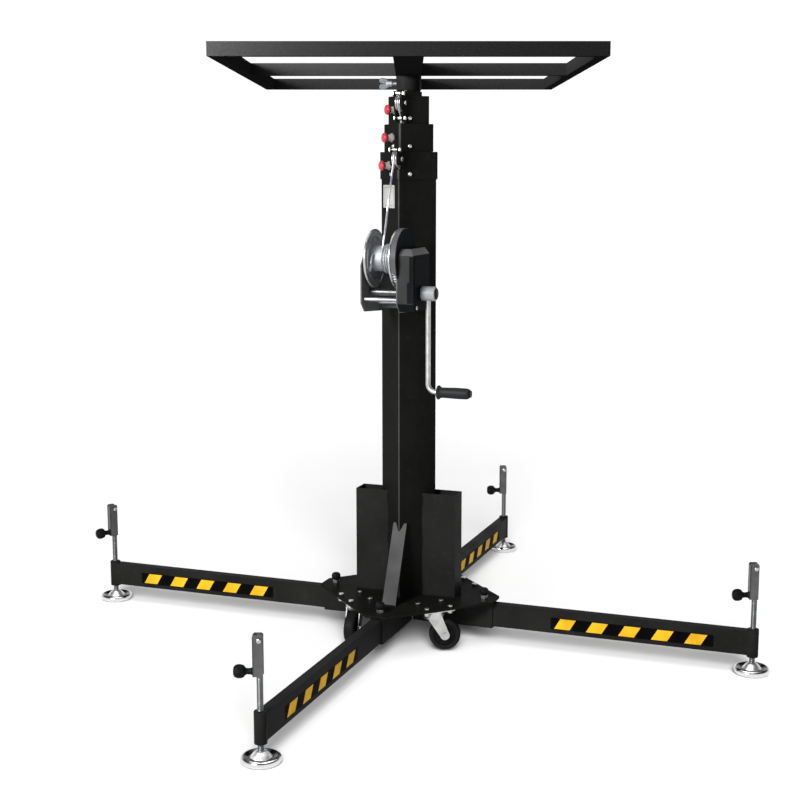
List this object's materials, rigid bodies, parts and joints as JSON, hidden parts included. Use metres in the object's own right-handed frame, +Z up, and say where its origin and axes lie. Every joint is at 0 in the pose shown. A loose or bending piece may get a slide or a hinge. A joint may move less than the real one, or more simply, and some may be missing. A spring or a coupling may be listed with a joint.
{
  "type": "telescopic lifting tower",
  "caption": "Wind-up telescopic lifting tower: square mast on a cross of legs with castors and screw jacks, hand winch with wire rope, and a swivelling rectangular tray frame on top.",
  "frame": {"origin": "on the floor, on the mast axis", "axes": "+Z up the mast, -Y towards the winch corner, +X towards the crank side"},
  "size_m": [1.866, 1.866, 1.4695],
  "materials": {
    "black_paint": "satin black powder coat",
    "dark_paint": "satin dark grey paint",
    "zinc": "bright zinc plate",
    "steel": "bare steel",
    "rope_steel": "stranded steel wire",
    "chrome": "polished",
    "nylon": "natural nylon",
    "black_plastic": "moulded black plastic",
    "red_plastic": "moulded red plastic",
    "wheel_rubber": "black rubber tread"
  },
  "bodies": {
    "tower": {"base_plate": "black_paint", "leg_sockets": "black_paint", "mast_gussets": "black_paint", "base_fasteners": "zinc", "mast_1": "black_paint", "guide_pads_1": "nylon", "collar_hardware_1": "zinc", "winch_frame": "dark_paint", "winch_gear_cover": "black_plastic", "winch_hardware": "zinc", "wire_rope": "rope_steel"},
    "section_2": {"mast_2": "black_paint", "guide_pads_2": "nylon", "collar_hardware_2": "zinc"},
    "section_3": {"mast_3": "black_paint", "guide_pads_3": "nylon", "collar_hardware_3": "zinc"},
    "section_4": {"mast_4": "black_paint", "guide_pads_4": "nylon"},
    "winch_crank": {"crank_shaft": "steel", "winch_crank": "zinc"},
    "rope_drum": {"rope_drum": "steel"},
    "sheave_1": {"sheave_1": "zinc"},
    "sheave_2": {"sheave_2": "zinc"},
    "sheave_3": {"sheave_3": "zinc"},
    "crank_grip": {"crank_grip": "black_plastic"},
    "winch_pawl": {"winch_pawl": "steel"},
    "lock_plunger_1": {"lock_plunger_1": "red_plastic"},
    "lock_plunger_2": {"lock_plunger_2": "red_plastic"},
    "lock_plunger_3": {"lock_plunger_3": "red_plastic"},
    "tray": {"tray_frame": "black_paint"},
    "wing_screw": {"wing_screw": "zinc"},
    "leg_1": {"leg_1": "black_paint"},
    "foot_1": {"foot_1": "chrome"},
    "spindle_1": {"spindle_1": "steel"},
    "jack_crank_1": {"jack_crank_1": "zinc"},
    "leg_lock_1": {"leg_lock_1": "black_plastic"},
    "leg_2": {"leg_2": "black_paint"},
    "foot_2": {"foot_2": "chrome"},
    "spindle_2": {"spindle_2": "steel"},
    "jack_crank_2": {"jack_crank_2": "zinc"},
    "leg_lock_2": {"leg_lock_2": "black_plastic"},
    "leg_3": {"leg_3": "black_paint"},
    "foot_3": {"foot_3": "chrome"},
    "spindle_3": {"spindle_3": "steel"},
    "jack_crank_3": {"jack_crank_3": "zinc"},
    "leg_lock_3": {"leg_lock_3": "black_plastic"},
    "leg_4": {"leg_4": "black_paint"},
    "foot_4": {"foot_4": "chrome"},
    "spindle_4": {"spindle_4": "steel"},
    "jack_crank_4": {"jack_crank_4": "zinc"},
    "leg_lock_4": {"leg_lock_4": "black_plastic"},
    "castor_fork_1": {"castor_fork_1": "zinc"},
    "castor_wheel_1": {"castor_wheel_1": "wheel_rubber"},
    "castor_fork_2": {"castor_fork_2": "zinc"},
    "castor_wheel_2": {"castor_wheel_2": "wheel_rubber"},
    "castor_fork_3": {"castor_fork_3": "zinc"},
    "castor_wheel_3": {"castor_wheel_3": "wheel_rubber"},
    "castor_fork_4": {"castor_fork_4": "zinc"},
    "castor_wheel_4": {"castor_wheel_4": "wheel_rubber"}
  },
  "joints": [
    {"name": "winch_crank_turn", "type": "hinge", "parent": "tower", "child": "winch_crank", "pos_m": [0, -0.155, 0.9135], "axis": [-1, 0, 0], "range_deg": [0, 17188.7]},
    {"name": "rope_drum_turn", "type": "hinge", "parent": "tower", "child": "rope_drum", "pos_m": [0, -0.155, 0.996], "axis": [1, 0, 0], "range_deg": [0, 4298]},
    {"name": "section_2_lift", "type": "slide", "parent": "tower", "child": "section_2", "axis": [0, 0, 1], "range_m": [0, 0.85]},
    {"name": "section_3_lift", "type": "slide", "parent": "section_2", "child": "section_3", "axis": [0, 0, 1], "range_m": [0, 0.85]},
    {"name": "section_4_lift", "type": "slide", "parent": "section_3", "child": "section_4", "axis": [0, 0, 1], "range_m": [0, 0.85]},
    {"name": "sheave_1_turn", "type": "hinge", "parent": "tower", "child": "sheave_1", "pos_m": [0, -0.08472, 1.235], "axis": [1, 0, 0], "continuous": true},
    {"name": "sheave_2_turn", "type": "hinge", "parent": "section_2", "child": "sheave_2", "pos_m": [0, 0.07341, 1.303], "axis": [-1, 0, 0], "continuous": true},
    {"name": "sheave_3_turn", "type": "hinge", "parent": "section_3", "child": "sheave_3", "pos_m": [0, -0.05998, 1.371], "axis": [1, 0, 0], "continuous": true},
    {"name": "crank_grip_turn", "type": "hinge", "parent": "winch_crank", "child": "crank_grip", "pos_m": [0, -0.155, 0.6735], "axis": [1, 0, 0], "continuous": true},
    {"name": "winch_pawl_lift", "type": "hinge", "parent": "tower", "child": "winch_pawl", "pos_m": [0, -0.122, 0.945], "axis": [1, 0, 0], "range_deg": [0, 25], "stiffness_Nm_per_rad": 0.05},
    {"name": "lock_plunger_1_pull", "type": "slide", "parent": "tower", "child": "lock_plunger_1", "axis": [-0.7071, -0.7071, 0], "range_m": [0, 0.01], "stiffness_N_per_m": 800, "springref_m": -0.01},
    {"name": "lock_plunger_2_pull", "type": "slide", "parent": "section_2", "child": "lock_plunger_2", "axis": [-0.7071, -0.7071, 0], "range_m": [0, 0.01], "stiffness_N_per_m": 800, "springref_m": -0.01},
    {"name": "lock_plunger_3_pull", "type": "slide", "parent": "section_3", "child": "lock_plunger_3", "axis": [-0.7071, -0.7071, 0], "range_m": [0, 0.01], "stiffness_N_per_m": 800, "springref_m": -0.01},
    {"name": "tray_swivel", "type": "hinge", "parent": "section_4", "child": "tray", "pos_m": [0, 0, 1.42], "axis": [0, 0, 1], "range_deg": [-180, 180]},
    {"name": "wing_screw_turn", "type": "hinge", "parent": "tray", "child": "wing_screw", "pos_m": [-0.03759, -0.01368, 1.4205], "axis": [-0.9397, -0.342, 0], "range_deg": [-360, 360]},
    {"name": "leg_1_pull", "type": "slide", "parent": "tower", "child": "leg_1", "axis": [1, 0, 0], "range_m": [0, 0.15]},
    {"name": "foot_1_drop", "type": "slide", "parent": "leg_1", "child": "foot_1", "axis": [0, 0, -1], "range_m": [-0.012, 0.06]},
    {"name": "spindle_1_turn", "type": "hinge", "parent": "foot_1", "child": "spindle_1", "pos_m": [0.888, 0, 0.06], "axis": [0, 0, -1], "range_deg": [-1080, 5400]},
    {"name": "jack_crank_1_fold", "type": "hinge", "parent": "spindle_1", "child": "jack_crank_1", "pos_m": [0.888, 0, 0.264], "axis": [-0.342, 0.9397, 0], "range_deg": [0, 90]},
    {"name": "leg_lock_1_turn", "type": "hinge", "parent": "tower", "child": "leg_lock_1", "pos_m": [0.207, 0, 0.13], "axis": [0, 0, 1], "range_deg": [0, 720]},
    {"name": "leg_2_pull", "type": "slide", "parent": "tower", "child": "leg_2", "axis": [0, 1, 0], "range_m": [0, 0.15]},
    {"name": "foot_2_drop", "type": "slide", "parent": "leg_2", "child": "foot_2", "axis": [0, 0, -1], "range_m": [-0.012, 0.06]},
    {"name": "spindle_2_turn", "type": "hinge", "parent": "foot_2", "child": "spindle_2", "pos_m": [0, 0.888, 0.06], "axis": [0, 0, -1], "range_deg": [-1080, 5400]},
    {"name": "jack_crank_2_fold", "type": "hinge", "parent": "spindle_2", "child": "jack_crank_2", "pos_m": [0, 0.888, 0.264], "axis": [-0.342, 0.9397, 0], "range_deg": [0, 90]},
    {"name": "leg_lock_2_turn", "type": "hinge", "parent": "tower", "child": "leg_lock_2", "pos_m": [0, 0.207, 0.13], "axis": [0, 0, 1], "range_deg": [0, 720]},
    {"name": "leg_3_pull", "type": "slide", "parent": "tower", "child": "leg_3", "axis": [-1, 0, 0], "range_m": [0, 0.15]},
    {"name": "foot_3_drop", "type": "slide", "parent": "leg_3", "child": "foot_3", "axis": [0, 0, -1], "range_m": [-0.012, 0.06]},
    {"name": "spindle_3_turn", "type": "hinge", "parent": "foot_3", "child": "spindle_3", "pos_m": [-0.888, 0, 0.06], "axis": [0, 0, -1], "range_deg": [-1080, 5400]},
    {"name": "jack_crank_3_fold", "type": "hinge", "parent": "spindle_3", "child": "jack_crank_3", "pos_m": [-0.888, 0, 0.264], "axis": [-0.8192, 0.5736, 0], "range_deg": [0, 90]},
    {"name": "leg_lock_3_turn", "type": "hinge", "parent": "tower", "child": "leg_lock_3", "pos_m": [-0.207, 0, 0.13], "axis": [0, 0, 1], "range_deg": [0, 720]},
    {"name": "leg_4_pull", "type": "slide", "parent": "tower", "child": "leg_4", "axis": [0, -1, 0], "range_m": [0, 0.15]},
    {"name": "foot_4_drop", "type": "slide", "parent": "leg_4", "child": "foot_4", "axis": [0, 0, -1], "range_m": [-0.012, 0.06]},
    {"name": "spindle_4_turn", "type": "hinge", "parent": "foot_4", "child": "spindle_4", "pos_m": [0, -0.888, 0.06], "axis": [0, 0, -1], "range_deg": [-1080, 5400]},
    {"name": "jack_crank_4_fold", "type": "hinge", "parent": "spindle_4", "child": "jack_crank_4", "pos_m": [0, -0.888, 0.264], "axis": [-0.342, 0.9397, 0], "range_deg": [0, 90]},
    {"name": "leg_lock_4_turn", "type": "hinge", "parent": "tower", "child": "leg_lock_4", "pos_m": [0, -0.207, 0.13], "axis": [0, 0, 1], "range_deg": [0, 720]},
    {"name": "castor_fork_1_swivel", "type": "hinge", "parent": "tower", "child": "castor_fork_1", "pos_m": [0.107, 0.107, 0.1], "axis": [0, 0, 1], "continuous": true},
    {"name": "castor_wheel_1_roll", "type": "hinge", "parent": "castor_fork_1", "child": "castor_wheel_1", "pos_m": [0.08069, 0.09742, 0.045], "axis": [0.342, -0.9397, 0], "continuous": true},
    {"name": "castor_fork_2_swivel", "type": "hinge", "parent": "tower", "child": "castor_fork_2", "pos_m": [-0.107, 0.107, 0.1], "axis": [0, 0, 1], "continuous": true},
    {"name": "castor_wheel_2_roll", "type": "hinge", "parent": "castor_fork_2", "child": "castor_wheel_2", "pos_m": [-0.11658, 0.08069, 0.045], "axis": [0.9397, -0.342, 0], "continuous": true},
    {"name": "castor_fork_3_swivel", "type": "hinge", "parent": "tower", "child": "castor_fork_3", "pos_m": [-0.107, -0.107, 0.1], "axis": [0, 0, 1], "continuous": true},
    {"name": "castor_wheel_3_roll", "type": "hinge", "parent": "castor_fork_3", "child": "castor_wheel_3", "pos_m": [-0.10456, -0.13489, 0.045], "axis": [0.9962, 0.0872, 0], "continuous": true},
    {"name": "castor_fork_4_swivel", "type": "hinge", "parent": "tower", "child": "castor_fork_4", "pos_m": [0.107, -0.107, 0.1], "axis": [0, 0, 1], "continuous": true},
    {"name": "castor_wheel_4_roll", "type": "hinge", "parent": "castor_fork_4", "child": "castor_wheel_4", "pos_m": [0.13331, -0.09742, 0.045], "axis": [-0.342, 0.9397, 0], "continuous": true}
  ],
  "couplings": [
    {"joint": "rope_drum_turn", "follows": "winch_crank_turn", "ratio": 0.25},
    {"joint": "section_2_lift", "follows": "winch_crank_turn", "m_per_rad": 0.0028333},
    {"joint": "section_3_lift", "follows": "winch_crank_turn", "m_per_rad": 0.0028333},
    {"joint": "section_4_lift", "follows": "winch_crank_turn", "m_per_rad": 0.0028333},
    {"joint": "sheave_1_turn", "follows": "winch_crank_turn", "ratio": 0.44737},
    {"joint": "sheave_2_turn", "follows": "winch_crank_turn", "ratio": 0.29825},
    {"joint": "sheave_3_turn", "follows": "winch_crank_turn", "ratio": 0.14912},
    {"joint": "spindle_1_turn", "follows": "foot_1_drop", "rad_per_m": 1570.8},
    {"joint": "spindle_2_turn", "follows": "foot_2_drop", "rad_per_m": 1570.8},
    {"joint": "spindle_3_turn", "follows": "foot_3_drop", "rad_per_m": 1570.8},
    {"joint": "spindle_4_turn", "follows": "foot_4_drop", "rad_per_m": 1570.8}
  ]
}
